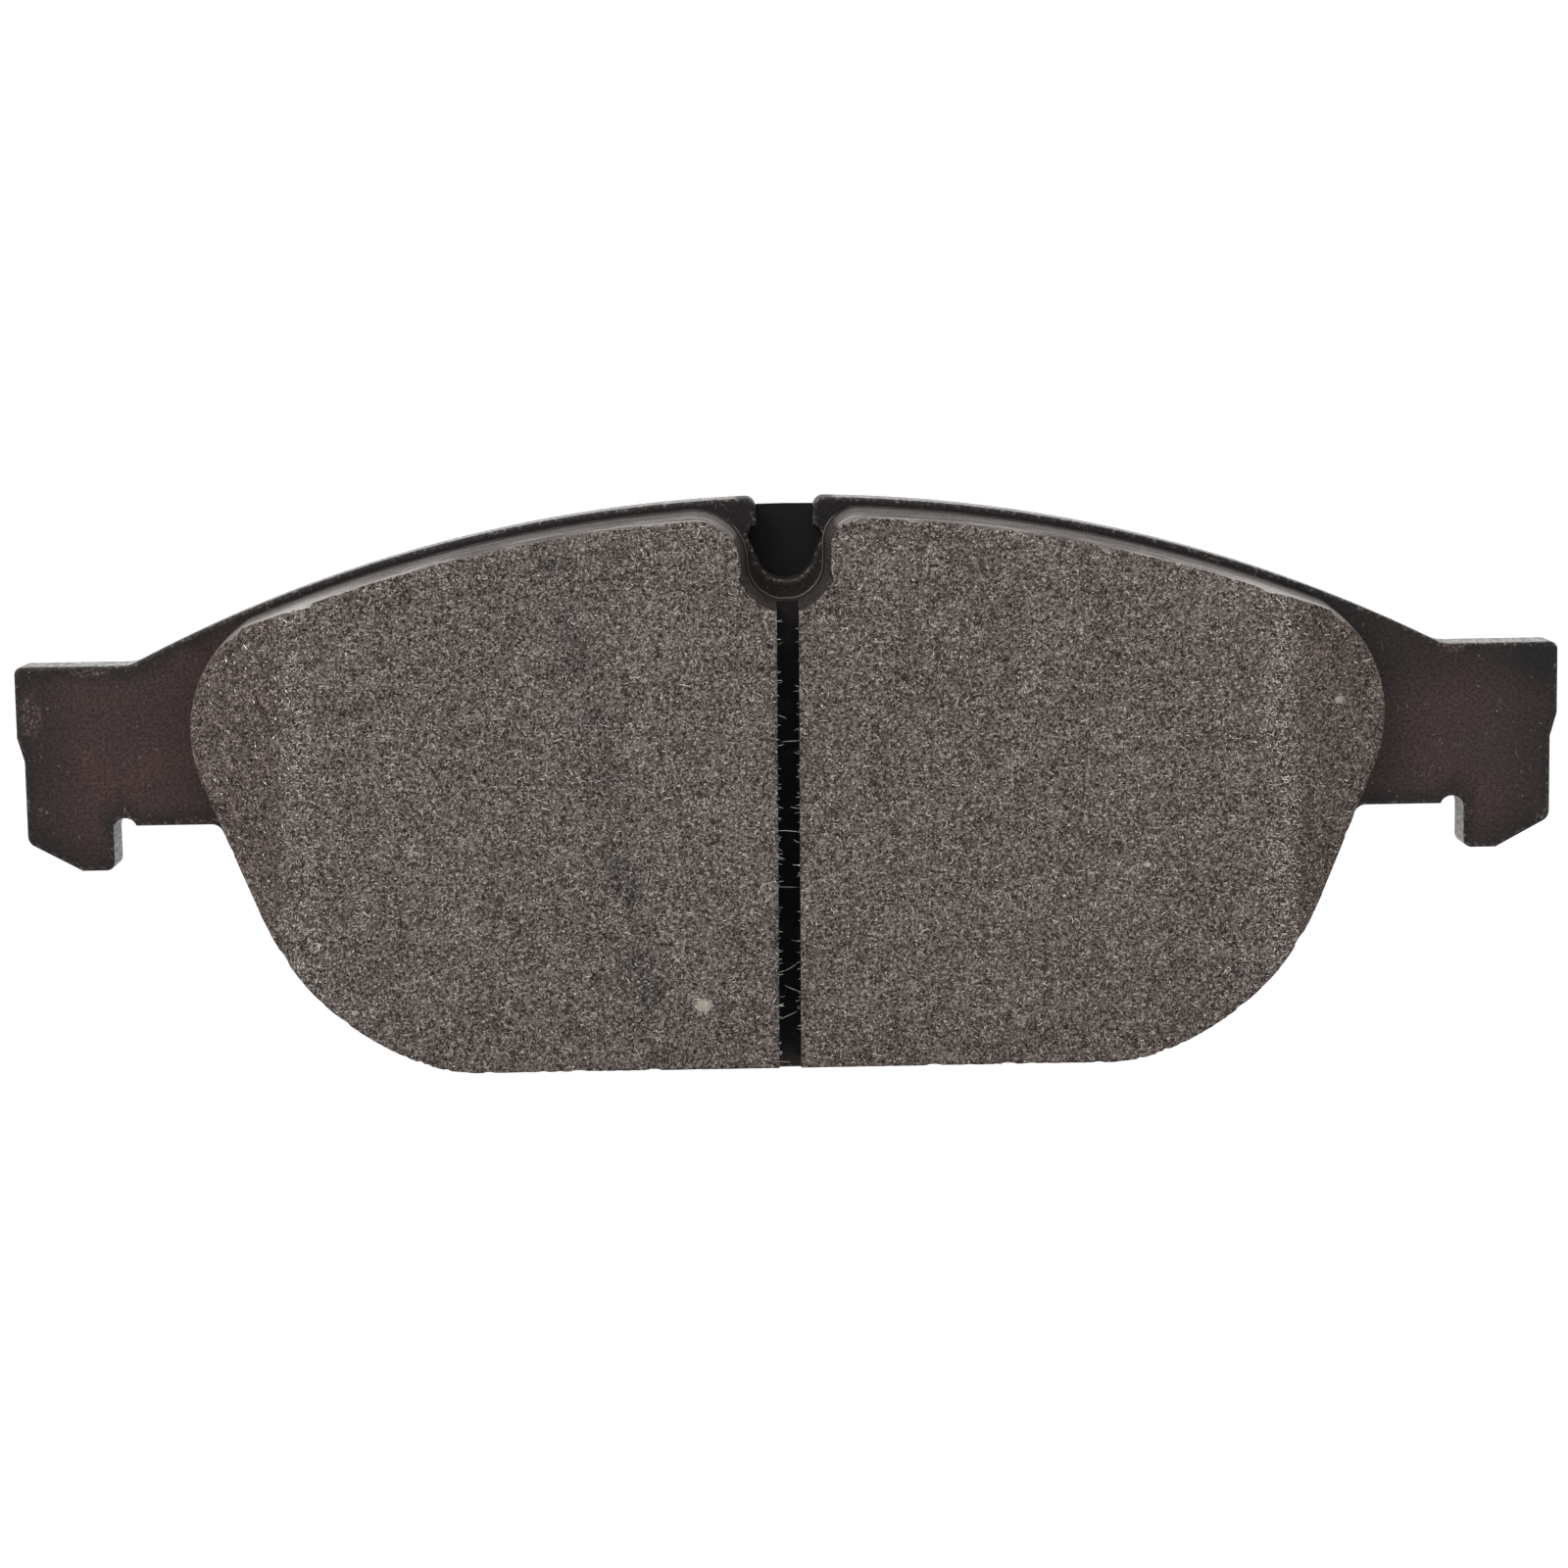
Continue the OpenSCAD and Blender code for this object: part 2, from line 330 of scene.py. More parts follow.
def plate_coating():
    p = Paint("plate_coating")
    mm = p.millimetres()
    wide = p.clouds(mm, 0.07, 3.0, 0.55)
    patchy = p.clouds(mm, 0.45, 4.0, 0.6)
    fine = p.clouds(mm, 2.6, 5.0, 0.85)
    edge = p.add("ShaderNodeAttribute", {"attribute_name": "edge"}, {}, "Fac")
    near = p.add("ShaderNodeAttribute", {"attribute_name": "near"}, {}, "Fac")
    brown = p.mix(wide.step(0.35, 0.65), (0.034, 0.0235, 0.0225), (0.047, 0.0265, 0.025))
    x, y, _ = apart(p, mm)
    outer = (x * x + (y - (ARCH_C - MIDDLE)) ** 2) ** 0.5
    band_dark = outer.step(ARCH_R - 7, ARCH_R - 3) * abs(x).step(76, 62)
    hook_dark = y.step(-2, -9) * abs(x).step(80, 85)
    tip_dark = abs(x).step(87, 95) * 0.55 + y.step(8, 15.5) * x.step(58, 75) * 0.6
    sooty = near.maths("MAXIMUM", near * (0.3 + patchy * 0.9),
                       band_dark * 0.9 + hook_dark * 0.6 + tip_dark)
    black = p.mix(sooty, brown, (0.0085, 0.0082, 0.0084))
    colour = p.mix(fine.step(0.4, 0.64) * 0.62, p.mix(1.0, black, (0.48, 0.48, 0.48), "MULTIPLY"),
                   p.mix(1.0, black, (2.7, 2.45, 2.35), "MULTIPLY"))
    # dust and small nicks down to lighter undercoat
    cells = p.add("ShaderNodeTexVoronoi", {}, {"Vector": mm, "Scale": 0.9}, "Distance")
    lot = p.add("ShaderNodeTexVoronoi", {}, {"Vector": mm, "Scale": 0.9}, "Color")
    pick = p.add("ShaderNodeSeparateColor", {}, {0: lot}, 0)
    nick = cells.step(0.15, 0.04) * pick.step(0.68, 0.85)
    streak_at = p.vector("ADD", p.vector("MULTIPLY", mm, (1.6, 0.5, 1.0)),
                         p.vector("MULTIPLY", p.clouds(mm, 0.4, out=1), (2.5, 2.5, 0)))
    streaks = p.add("ShaderNodeTexVoronoi", {"feature": "DISTANCE_TO_EDGE"},
                    {"Vector": streak_at, "Scale": 0.35}, "Distance")
    scratch = streaks.step(0.012, 0.004) * p.clouds(mm, 0.5, 2.0).step(0.6, 0.68)
    colour = p.mix(nick * 0.6 + scratch * 0.4, colour, (0.27, 0.24, 0.22))
    # rolled edges rubbed thin, and rust where the ear's end has been knocked
    rubbed = edge * p.clouds(mm, 1.6, 4.0, 0.7).step(0.5, 0.68)
    colour = p.mix(rubbed * 0.75, colour, (0.19, 0.17, 0.16))
    knocks = None
    for cx, cy, rx, ry in SCUFFS:
        far = ((x - cx) / rx) ** 2 + ((y - cy) / ry) ** 2
        spot = (far + patchy * 2.0 - 1.0).step(1.1, 0.0)
        knocks = spot if knocks is None else knocks + spot
    knocked = knocks * p.clouds(mm, 1.9, 5.0, 0.85).step(0.48, 0.64)
    colour = p.mix(knocked * 0.6, colour, p.mix(patchy, (0.2, 0.1, 0.07), (0.36, 0.27, 0.23)))
    bare = p.add("ShaderNodeAttribute", {"attribute_name": "bare"}, {}, "Fac")
    sheared = p.clouds(p.vector("MULTIPLY", mm, (1.5, 1.5, 0.25)), 2.0, 3.0, 0.65)
    steel = p.mix(sheared.step(0.3, 0.7), (0.12, 0.115, 0.11), (0.34, 0.33, 0.32))
    colour = p.mix(bare * (0.45 + sheared * 0.9), colour, steel)
    rough = 0.42 + fine * 0.16 + knocked * 0.2
    height = fine * 0.6 + patchy * 0.8 - rubbed * 0.3 - nick * 0.6
    return p.finish(colour, rough, height, 0.05, Specular_IOR_Level=0.2)


def apart(paint, vector):
    """The three numbers of a vector."""
    made = paint.add("ShaderNodeSeparateXYZ", {}, {0: vector})
    return [Wire(paint, made.socket.node.outputs[i]) for i in range(3)]


# knocked spots: middle and half sizes, from the pad's centre
SCUFFS = [(-94.6, 10.2, 1.7, 3.4), (-87.2, 15.6, 3.0, 0.7), (-93.5, -1.9, 0.9, 0.8),
          (83.0, 16.0, 2.2, 0.7), (95.0, -5.6, 1.6, 1.7), (-73.5, -3.2, 4.5, 0.6)]


def backing_plate():
    edge_ring = close_half(plate_half())
    keys = [np.array(arc((x, KEY_Y), KEY_R, 360, 0, 0.9)[:-1]) for x in KEY_X]
    # height, how far in, and how worn, up the wall and over the rolled edge
    rolled = [(PLATE_FOOT, 0.1, 0.6), (PLATE_FOOT + 0.1, 0, 0.5), (PLATE_FOOT + 0.4, 0, 0),
              (PLATE_FACE - 0.6, 0, 0), (PLATE_FACE - 0.38, 0.02, 0.3), (PLATE_FACE - 0.18, 0.09, 1),
              (PLATE_FACE - 0.05, 0.21, 1), (PLATE_FACE, 0.4, 0.6), (PLATE_FACE, 0.7, 0)]
    points, faces, edge = [], [], []
    count = len(edge_ring)
    for i, (z, by, worn) in enumerate(rolled):
        points += [(x, y, z) for x, y in inward(edge_ring, by)]
        edge += [worn] * count
        if i:
            faces += band((i - 1) * count, i * count, count)
    near = [1.0] * len(points)
    rings = {0: range(count), 1: range((len(rolled) - 1) * count, len(rolled) * count)}
    holes = {0: [], 1: []}
    for key in keys:
        for level, z in ((0, PLATE_FOOT), (1, PLATE_FACE)):
            holes[level].append(range(len(points), len(points) + len(key)))
            points += [(x, y, z) for x, y in key]
        faces += band(holes[0][-1][0], holes[1][-1][0], len(key))
    edge += [0] * (len(points) - len(edge))
    near += [0] * (len(points) - len(near))
    walls = range(2 * count, 5 * count)
    bare = [1.0 if i in walls and math.hypot(p[0], p[1] - 67) > 8 else 0.0 for i, p in enumerate(points)]
    notch = [math.hypot(p[0], p[1] - 66) < 6 for p in points]
    edge = [min(1.5, e * 1.6) if close else e for e, close in zip(edge, notch)]
    grid = [(x, y) for x in np.arange(-93, 94, 3.0) for y in np.arange(2, 71, 3.0)]
    ring_in = inward(edge_ring, 2.2)
    deep = [p for p in grid if inside(p, ring_in) and clear_of_keys(p, KEY_R + 1)]
    for level, z in ((0, PLATE_FOOT), (1, PLATE_FACE)):
        loops = [rings[level], *holes[level]]
        start = len(points)
        points += [(x, y, z) for x, y in deep]
        edge += [0] * len(deep)
        near += [0] * len(deep)
        bare += [0] * len(deep)
        ids = [i for loop in loops for i in loop] + list(range(start, len(points)))
        flat = [[points[i][:2] for i in loop] for loop in loops]
        for face in filled(flat, deep):
            middle = np.mean([points[ids[i]][:2] for i in face], 0)
            if clear_of_keys(middle, KEY_R - 0.1):
                face = tuple(ids[i] for i in face)
                faces.append(face if level else face[::-1])
    marks = {"edge": edge, "near": near, "bare": bare}
    piece = mesh_piece("plate", points, faces, plate_coating(), marks=marks)
    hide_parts("backing_plate")


def clear_of_keys(point, gap):
    return all(math.dist(point, (x, KEY_Y)) > gap for x in KEY_X)


def inside(point, ring):
    """Whether a point lies within a ring."""
    x, y = point
    a, b = ring, np.roll(ring, -1, 0)
    over = (a[:, 1] > y) != (b[:, 1] > y)
    cut = a[:, 0] + (y - a[:, 1]) * (b[:, 0] - a[:, 0]) / np.where(over, b[:, 1] - a[:, 1], 1)
    return np.count_nonzero(over & (cut > x)) % 2 == 1


backing_plate()


# ---------------------------------------------------------------- underlayer and lining
# Moulded hot on to the plate: a dense underlayer that also fills the plate's holes, and
# over it two friction blocks parted by a sawn slot and bevelled at their outer ends.

DRAFT, LINING_T, UNDER_T = 0.75, 12.0, 2.5
FILM_T = 0.1
BEVEL_X, BEVEL = 60.3, math.tan(math.radians(26.5))
MID_ARCH = ARCH_R - 1.05 - DRAFT / 2
END_C, END_R, CORNER_R = (57.9, 44.5), 16.0, 3.5
LINING_C, TIGHT_R, WIDE_R = (FLAT, 20.83), 18.78, 35.28
NOTCH_Y, NOTCH_R = 64.2, 5.1
SLOT_W, SLOT_X, SLOT_LEAN = 2.65, -0.09, math.tan(math.radians(0.6))
SLOT_LENGTH, SLOT_MIDDLE_Y = 56, 36.1
SKIN = 0.07


def between(p, q, count):
    return [(p[0] + (q[0] - p[0]) * i / count, p[1] + (q[1] - p[1]) * i / count) for i in range(count)]


def sweep(centre, radius, start, end, count):
    return [on_arc(centre, radius, start + (end - start) * i / count) for i in range(count)]


def meet(c1, r1, c2, r2):
    """Where two circles meet, on the right."""
    span = math.dist(c1, c2)
    dx, dy = (c2[0] - c1[0]) / span, (c2[1] - c1[1]) / span
    a = (span ** 2 + r1 ** 2 - r2 ** 2) / (2 * span)
    h = math.sqrt(r1 ** 2 - a ** 2)
    return (c1[0] + dx * a + dy * h, c1[1] + dy * a - dx * h)


def block_ring(side, out, back, fine):
    """One friction block's edge on the right side, its walls moved out and its slot wall back.
    The count of points doesn't depend on the moves; fine is the spacing in millimetres."""
    n = lambda length: max(2, round(length / fine))
    corner = 4.0 if side > 0 else 6.0
    at_slot = lambda y: SLOT_W / 2 + back + side * (SLOT_X + SLOT_LEAN * (y - SLOT_MIDDLE_Y))
    c2 = wide_centre(LINING_C, TIGHT_R, WIDE_R)
    d = (END_C[0] - c2[0], END_C[1] - c2[1])
    lean = math.degrees(math.atan2(d[1], d[0]) + math.asin((WIDE_R - END_R) / math.hypot(*d))) - 90
    k = meet((0, ARCH_C), MID_ARCH - CORNER_R, END_C, END_R - CORNER_R)
    a_end = math.degrees(math.atan2(k[1] - END_C[1], k[0] - END_C[0]))
    a_arch = math.degrees(math.atan2(k[1] - ARCH_C, k[0]))
    nc_x = NOTCH_R + corner
    nc = (nc_x, math.sqrt((MID_ARCH - corner) ** 2 - nc_x ** 2) + ARCH_C)
    a_nc = math.degrees(math.atan2(nc[1] - ARCH_C, nc[0]))
    notch_r = NOTCH_R - out
    y = NOTCH_Y - notch_r
    for _ in range(4):
        y = NOTCH_Y - math.sqrt(notch_r ** 2 - at_slot(y) ** 2)
    a_slot = math.degrees(math.atan2(y - NOTCH_Y, at_slot(y)))
    bottom = LINING_C[1] - TIGHT_R - out
    flank_a, flank_b = on_arc(c2, WIDE_R + out, lean), on_arc(END_C, END_R + out, lean)
    return np.array(
        between((at_slot(bottom), bottom), (FLAT, bottom), n(37))
        + sweep(LINING_C, TIGHT_R + out, -90, TURN - 90, n(6.4))
        + sweep(c2, WIDE_R + out, TURN - 90, lean, n(29))
        + between(flank_a, flank_b, n(17))
        + sweep(END_C, END_R + out, lean, a_end, n(20))
        + sweep(k, CORNER_R + out, a_end, a_arch, n(2.5))
        + sweep((0, ARCH_C), MID_ARCH + out, a_arch, a_nc, n(56))
        + sweep(nc, corner + out, a_nc, 180, n(corner * 1.5))
        + between((nc[0] - corner - out, nc[1]), (notch_r, NOTCH_Y), n(2))
        + sweep((0, NOTCH_Y), notch_r, 0, a_slot, n(6.5))
        + between((at_slot(y), y), (at_slot(bottom), bottom), n(SLOT_LENGTH))
    )


def top_at(x):
    """Height of the lining's face above the plate, with the bevels at both ends."""
    return LINING_T - SKIN - np.maximum(0, np.abs(x) - BEVEL_X) * BEVEL


def grit(x, y, z, scale, seed=0.0):
    return noise.noise(Vector((x * scale + seed, y * scale - seed, z * scale)))


def friction_block(side, material):
    """One block: rough drafted walls, a ragged rim and a pitted face, as a single closed mesh."""
    fine = 0.5
    spread = 0.5
    near, far = block_ring(side, -spread, 0, fine), block_ring(side, spread, 0, fine)
    back = block_ring(side, 0, 0.5, fine) - block_ring(side, 0, 0, fine)
    count = len(near)
    middle = (near + far) / 2
    normal = inward(middle, -1) - middle
    normal /= np.linalg.norm(normal, axis=1)[:, None]
    # a known fault: this also takes in the bottom wall for 15 mm beside the slot
    slot_wall = np.linalg.norm(back, axis=1) > 0.3
    crest = top_at(middle[:, 0])
    rows = max(4, round((LINING_T - UNDER_T) / fine))
    rims = [(0.3, 0.0), (0.14, 0.01), (0.04, 0.05), (0.0, 0.14)]
    levels = [(i / rows, 0.3, 0.0) for i in range(rows)] + [(1, *rim) for rim in rims]
    points = []
    for share, drop, pull in levels:
        z = UNDER_T + (crest - drop - UNDER_T) * share
        out = DRAFT * (0.5 - z / LINING_T)
        xy = near + (far - near) * ((out + spread) / (2 * spread))[:, None]
        for i in range(count):
            x, y = xy[i]
            torn = 0.3 + 0.7 * max(0.0, (z[i] - 5.5) / 6.5)
            rough = 0.09 * grit(x, y, z[i], 0.9) + 0.07 * grit(x, y, z[i], 2.3, 5)
            chip = (max(0.0, grit(x, y, 0, 0.55, 11) - 0.24) * 1.2
                    + max(0.0, grit(x, y, 0, 1.7, 3) - 0.3) * 0.8)
            push = -abs(rough) * torn - chip * max(0.0, (share - 0.93) * 14) * 0.9 - pull
            sink = chip * (share == 1) * 0.35 * (1 - drop)
            if slot_wall[i]:
                push = -0.25 * abs(rough) - pull * 0.4
            if share == 0:
                push = min(0.0, push)
            x, y = xy[i] + normal[i] * push
            points.append((side * x, y, PLATE_FACE + z[i] - sink))
    faces = []
    for level in range(len(levels) - 1):
        faces += band(level * count, (level + 1) * count, count)
    rim = range((len(levels) - 1) * count, len(levels) * count)
    rim_flat = [(side * points[i][0], points[i][1]) for i in rim]
    ring = inward(np.array(rim_flat), fine * 0.7)
    rnd = random.Random(7 + side)
    inner = []
    for row, y in enumerate(np.arange(2, 72, fine * 0.87)):
        for x in np.arange(1 + (row % 2) * fine / 2, 75, fine):
            p = (x + rnd.uniform(-0.28, 0.28) * fine, y + rnd.uniform(-0.28, 0.28) * fine)
            if inside(p, ring):
                inner.append(p)
    ids = list(rim) + list(range(len(points), len(points) + len(inner)))
    for x, y in inner:
        z = top_at(x)
        relief = 0.035 * grit(side * x, y, 0, 0.8) + 0.03 * grit(side * x, y, 0, 2.0, 9)
        pit = max(0.0, grit(side * x, y, 0, 1.1, 21) - 0.42) * 0.5
        points.append((side * x, y, PLATE_FACE + z + min(0.06, relief) - pit))
    for face in filled([rim_flat], inner):
        faces.append(tuple(ids[i] for i in face))
    faces += [face[::-1] for face in filled([[(side * x, y) for x, y, _ in points[:count]]])]
    if side < 0:
        faces = [face[::-1] for face in faces]
    name = "lining_left" if side < 0 else "lining_right"
    # painted shade on the slot's and the notch's walls, moulded skin elsewhere; the top two rings are face
    moulded = [0.0 if cut or (abs(x) < 6.2 and y > 50) else 1.0 for cut, (x, y) in zip(slot_wall, middle)]
    wall_shade_share = [1.0 if cut else 0.9 * (1 - m) for cut, m in zip(slot_wall, moulded)]
    wall, sawn = moulded * (len(levels) - 2), wall_shade_share * (len(levels) - 2)
    face_zeros = [0.0] * (len(points) - len(wall))
    wall, sawn = wall + face_zeros, sawn + face_zeros
    piece = mesh_piece("block_" + name[7:], points, faces, material, 60, {"wall": wall, "sawn": sawn})
    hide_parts(name)
    return points[rim[-1] + 1:]


# pale lumps in the mix: middle from the pad's centre, and half size
PALE = [(-11.0, -25.6, 1.3), (67.8, 10.5, 0.75), (-53.9, -25.8, 0.5), (43.6, -9.0, 0.5)]


def friction_mix():
    """Baked resin with mineral grains, dark carbon and chopped steel."""
    p = Paint("friction_mix")
    mm = p.millimetres()
    x, y, z = apart(p, mm)
    warp = p.vector("MULTIPLY", p.clouds(mm, 1.3, 2.0, out=1), (0.7, 0.7, 0.7))
    bent = p.vector("ADD", mm, warp)
    broad = p.clouds(mm, 0.11, 3.0, 0.55)
    drift = p.clouds(mm, 0.5, 3.0, 0.6)
    fine = p.clouds(mm, 7.5, 2.0, 0.8)
    grains = p.add("ShaderNodeTexVoronoi", {}, {"Vector": bent, "Scale": 3.6}, "Color")
    tone = p.add("ShaderNodeSeparateColor", {}, {0: grains}, 0)
    small = p.add("ShaderNodeTexVoronoi", {}, {"Vector": bent, "Scale": 5.6}, "Color")
    tone2 = p.add("ShaderNodeSeparateColor", {}, {0: small}, 1)
    level = fine * 0.95 + tone * 0.3 + tone2 * 0.66 + drift * 0.26 + broad * 0.2 - 0.695
    colour = p.add("ShaderNodeValToRGB", {"stops": [
        (0.12, (0.016, 0.0125, 0.011)), (0.32, (0.052, 0.0415, 0.037)), (0.5, (0.1, 0.0815, 0.0735)),
        (0.7, (0.175, 0.145, 0.132)), (0.95, (0.36, 0.31, 0.285))]}, {0: level})
    colour = p.mix(p.clouds(mm, 0.35, 3.0, 0.6).step(0.5, 0.72) * 0.35, colour,
                   p.mix(1.0, colour, (0.86, 0.97, 0.95), "MULTIPLY"))
    # chopped fibres cut through at the face, seen as short bright dashes
    dashes = None
    for turn, seed, per_mm in ((0.1, 3.0, 0.8), (0.75, 17.0, 0.95), (-0.6, 31.0, 0.9)):
        laid = p.add("ShaderNodeMapping", {}, {"Vector": bent, "Location": (seed, seed, seed),
                     "Rotation": (0.2, 0.1, turn), "Scale": (1.0, 5.0, 2.5)})
        gap = p.add("ShaderNodeTexVoronoi", {}, {"Vector": laid, "Scale": per_mm}, "Distance")
        lot = p.add("ShaderNodeTexVoronoi", {}, {"Vector": laid, "Scale": per_mm}, "Color")
        some = p.add("ShaderNodeSeparateColor", {}, {0: lot}, 2)
        dash = gap.step(0.34, 0.22) * some.step(0.82, 0.88)
        dashes = dash if dashes is None else dashes.maths("MAXIMUM", dashes, dash)
    # bright cut ends of fibres, the size of a pin's point
    dots = p.add("ShaderNodeTexVoronoi", {}, {"Vector": bent, "Scale": 2.6}, "Distance")
    dot_lot = p.add("ShaderNodeTexVoronoi", {}, {"Vector": bent, "Scale": 2.6}, "Color")
    dot = dots.step(0.3, 0.16) * p.add("ShaderNodeSeparateColor", {}, {0: dot_lot}, 0).step(0.68, 0.76)
    # pits where grains have dropped out, painted near-black as painted shade in them
    holes = p.add("ShaderNodeTexVoronoi", {}, {"Vector": bent, "Scale": 2.0}, "Distance")
    hole_lot = p.add("ShaderNodeTexVoronoi", {}, {"Vector": bent, "Scale": 2.0}, "Color")
    pit = holes.step(0.36, 0.2) * p.add("ShaderNodeSeparateColor", {}, {0: hole_lot}, 1).step(0.6, 0.68)
    # the fibre dashes and dots are brighter along the start of each bevel
    ridge = (abs(abs(x) - BEVEL_X)).step(1.6, 0.1)
    bevel_shade = (abs(x) - BEVEL_X).step(0.5, 3.0)
    shine = dashes * (0.42 + ridge * 0.56)
    colour = p.mix(shine, colour, (0.52, 0.5, 0.47))
    colour = p.mix(dot * (0.7 + ridge * 0.25), colour, (0.7, 0.66, 0.6))
    # painted shade: the sloping bevels at both ends are painted darker
    colour = p.mix(bevel_shade * 0.75, colour, p.mix(1.0, colour, (0.79, 0.73, 0.7), "MULTIPLY"))
    # painted shade: the face a little darker towards its lower edge
    colour = p.mix(y.step(-20, -34) * 0.8, colour, p.mix(1.0, colour, (0.86, 0.84, 0.83), "MULTIPLY"))
    # painted shade in the pits
    colour = p.mix(pit * 0.85, colour, (0.016, 0.013, 0.012))
    # a faint oily smear down the left block, and a few pale lumps
    off = abs(x + 22.5 + y * 0.203) / 2.2
    smear = off.step(1.3, 0.2) * p.clouds(mm, 0.25, 3.0, 0.65).step(0.4, 0.62)
    colour = p.mix(smear * 0.62, colour, p.mix(1.0, colour, (0.5, 0.55, 0.56), "MULTIPLY"))
    for cx, cy, size in PALE:
        lump = (((x - cx) / size) ** 2 + ((y - cy) / (size * 0.75)) ** 2 + fine * 2.4 - 1.2).step(1.1, 0.2)
        colour = p.mix(lump * 0.6, colour, (0.5, 0.47, 0.4))
    # walls keep the mould's smoother skin, dragged in streaks, with painted light and sheen on it; the
    # slot's and the notch's walls are painted near-black as painted shade
    wall = p.add("ShaderNodeAttribute", {"attribute_name": "wall"}, {}, "Fac")
    sawn = p.add("ShaderNodeAttribute", {"attribute_name": "sawn"}, {}, "Fac")
    drag = p.clouds(p.vector("MULTIPLY", mm, (0.1, 0.1, 0.55)), 1.0, 6.0, 0.75)
    # painted light: the walls are painted lighter towards the face
    lit = (z - (PLATE_FACE + 4)).step(0, 8)
    skin_and_sheen = p.mix(drag.step(0.38, 0.62) * (0.35 + lit * 0.65), (0.05, 0.045, 0.042), (0.2, 0.187, 0.177))
    # painted sheen: near-white towards the arch's ends and in streaks near the face
    streaks_and_sheen = abs(x).step(44, 60) * lit * 0.85 + drag.step(0.54, 0.6) * lit * 0.45
    skin_and_sheen = p.mix(streaks_and_sheen, skin_and_sheen, (0.5, 0.48, 0.46))
    colour = p.mix(wall * 0.72, colour, skin_and_sheen)
    # painted shade: the slot's and the notch's walls darkened to near-black
    colour = p.mix(sawn * 0.8, colour, (0.009, 0.008, 0.0075))
    rough = 0.8 - shine * 0.35 - tone2 * 0.1 + sawn * 0.25
    height = fine * 0.55 + tone * 0.25 + tone2 * 0.25 + dashes * 0.3 - pit * 1.1
    return p.finish(colour, rough, height, 0.13, Specular_IOR_Level=0.12)


mix = friction_mix()
right_face = friction_block(1, mix)
left_face = friction_block(-1, mix)


def underlayer_mix():
    p = Paint("underlayer_mix")
    mm = p.millimetres()
    fine = p.clouds(mm, 4.0, 4.0, 0.7)
    drag = p.clouds(p.vector("MULTIPLY", mm, (0.3, 0.3, 3.0)), 1.2, 3.0, 0.6)
    colour = p.mix(fine, (0.009, 0.008, 0.0075), (0.021, 0.0185, 0.0175))
    colour = p.mix(drag.step(0.5, 0.75) * 0.4, colour, (0.05, 0.045, 0.042))
    return p.finish(colour, 0.55 + fine * 0.15, fine + drag * 0.6, 0.06, Specular_IOR_Level=0.2)


def underlayer():
    """A slab with the lining's outline, without the slot, and the four keys below it."""
    fine = 0.9
    slot = SLOT_W / 2
    points, faces = [], []
    for z in np.linspace(FILM_T, UNDER_T, 6):
        out = DRAFT * (0.5 - z / LINING_T)
        right = block_ring(1, out, -slot, fine)
        left = block_ring(-1, out, -slot, fine)
        n = round(SLOT_LENGTH / fine)
        right, left = right[:-n], left[:-n] * (-1, 1)
        ring = np.vstack([right, left[:0:-1]])
        for x, y in ring:
            rough = 0.05 * grit(x, y, z, 0.8, 2) + 0.03 * grit(x, y, z, 2.5, 4)
            centre = np.array((x, y)) - (0, 36)
            x, y = np.array((x, y)) - centre / np.linalg.norm(centre) * abs(rough)
            points.append((x, y, PLATE_FACE + z))
    count = len(ring)
    for i in range(5):
        faces += band(i * count, (i + 1) * count, count)
    top = range(5 * count, 6 * count)
    rim = [points[i][:2] for i in top]
    strip = []
    rnd = random.Random(4)
    for y in np.arange(2.6, 58.6, 0.45):
        for x in np.arange(-1.6, 1.7, 0.4):
            strip.append((x + rnd.uniform(-0.1, 0.1), y + rnd.uniform(-0.1, 0.1)))
    ids = list(top) + list(range(len(points), len(points) + len(strip)))
    points += [(x, y, PLATE_FACE + UNDER_T - 0.02 - 0.08 * abs(grit(x, y, 0, 1.5))) for x, y in strip]
    faces += [tuple(ids[i] for i in face) for face in filled([rim], strip)]
    faces += [face[::-1] for face in filled([[p[:2] for p in points[:count]]])]
    for x in KEY_X:
        start = len(points)
        ring = arc((x, KEY_Y), KEY_R - 0.02, 0, 360, 0.9)[:-1]
        for z in (PLATE_FOOT, PLATE_FACE + 0.2):
            points += [(px, py, z) for px, py in ring]
        n = len(ring)
        faces += band(start, start + n, n)
        faces += [tuple(range(start, start + n))[::-1], tuple(range(start + n, start + 2 * n))]
    piece = mesh_piece("moulded_underlayer", points, faces, underlayer_mix(), 50)
    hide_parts("underlayer")


underlayer()


# ---------------------------------------------------------------- bonding film
# A cured glue film between plate and lining, a tenth of a millimetre thick. It is pressed
# out in a hair line at the foot of the lining round the notch. Its colour is partly the glue's
# own tan and partly painted highlight, so that the hair line shows bright.

def bonding_film():
    p = Paint("bonding_film")
    mm = p.millimetres()
    lumps = p.clouds(mm, 3.0, 3.0, 0.6)
    # partly the glue's own tan, partly painted highlight that makes the hair line show bright
    colour = p.mix(lumps, (0.05, 0.045, 0.042), (0.17, 0.155, 0.145))
    return p.finish(colour, 0.35 + lumps * 0.2, lumps, 0.03)


